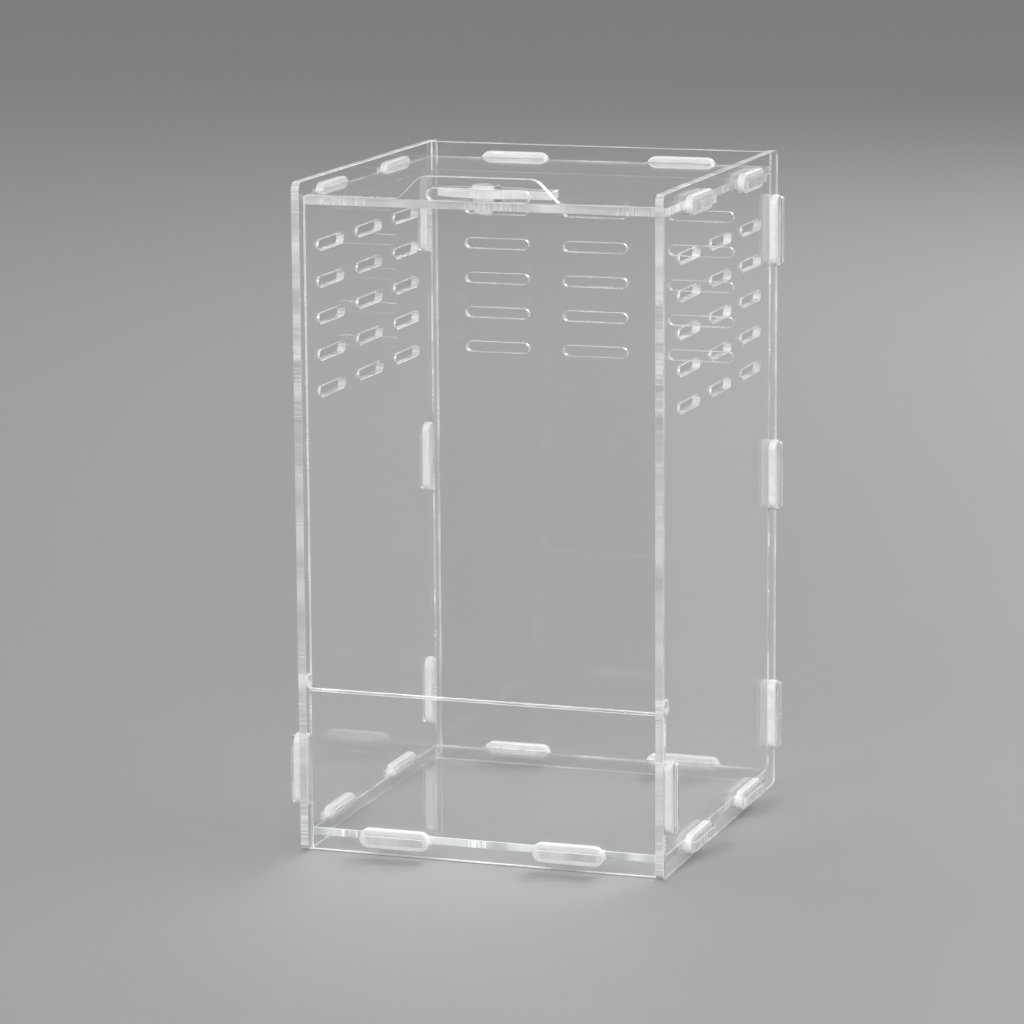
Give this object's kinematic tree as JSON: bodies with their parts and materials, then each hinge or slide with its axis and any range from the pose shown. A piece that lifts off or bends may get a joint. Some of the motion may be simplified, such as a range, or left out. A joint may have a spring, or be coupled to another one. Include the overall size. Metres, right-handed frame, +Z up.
{
  "type": "display enclosure",
  "caption": "Clear tabbed-sheet display enclosure with vent slots, soft locking rings, a drop-down front door and a turning latch.",
  "frame": {"origin": "ground level, under the middle of the whole enclosure's bounding box", "axes": "+Z up, +X to the right seen from the door side, -Y towards the door side (front)"},
  "size_m": [0.15, 0.1516, 0.2535],
  "materials": {
    "clear_sheet": "gloss",
    "fastener": "gloss",
    "ring": "satin"
  },
  "bodies": {
    "case": {"left_side_panel": "clear_sheet", "right_side_panel": "clear_sheet", "back_panel": "clear_sheet", "lower_front_panel": "clear_sheet", "floor_panel": "clear_sheet", "roof_panel": "clear_sheet", "latch_rivet": "fastener", "rivet_cap": "fastener", "lower_washer": "fastener", "upper_washer": "fastener", "ring_back_left_high": "ring", "ring_back_left_low": "ring", "ring_back_left_middle": "ring", "ring_back_right_high": "ring", "ring_back_right_low": "ring", "ring_back_right_middle": "ring", "ring_floor_back_left": "ring", "ring_floor_back_right": "ring", "ring_floor_front_left": "ring", "ring_floor_front_right": "ring", "ring_floor_left_front": "ring", "ring_floor_left_rear": "ring", "ring_floor_right_front": "ring", "ring_floor_right_rear": "ring", "ring_lower_front_left": "ring", "ring_lower_front_right": "ring", "ring_roof_back_left": "ring", "ring_roof_back_right": "ring", "ring_roof_left_front": "ring", "ring_roof_left_rear": "ring", "ring_roof_right_front": "ring", "ring_roof_right_rear": "ring"},
    "door": {"front_door": "clear_sheet"},
    "latch": {"latch_lever": "clear_sheet"}
  },
  "joints": [
    {"name": "door_swing", "type": "hinge", "parent": "case", "child": "door", "pos_m": [0, -0.06975, 0.0638], "axis": [1, 0, 0], "range_deg": [0, 105]},
    {"name": "latch_turn", "type": "hinge", "parent": "case", "child": "latch", "pos_m": [0, -0.06025, 0.24545], "axis": [0, 0, 1], "range_deg": [0, 90]}
  ]
}
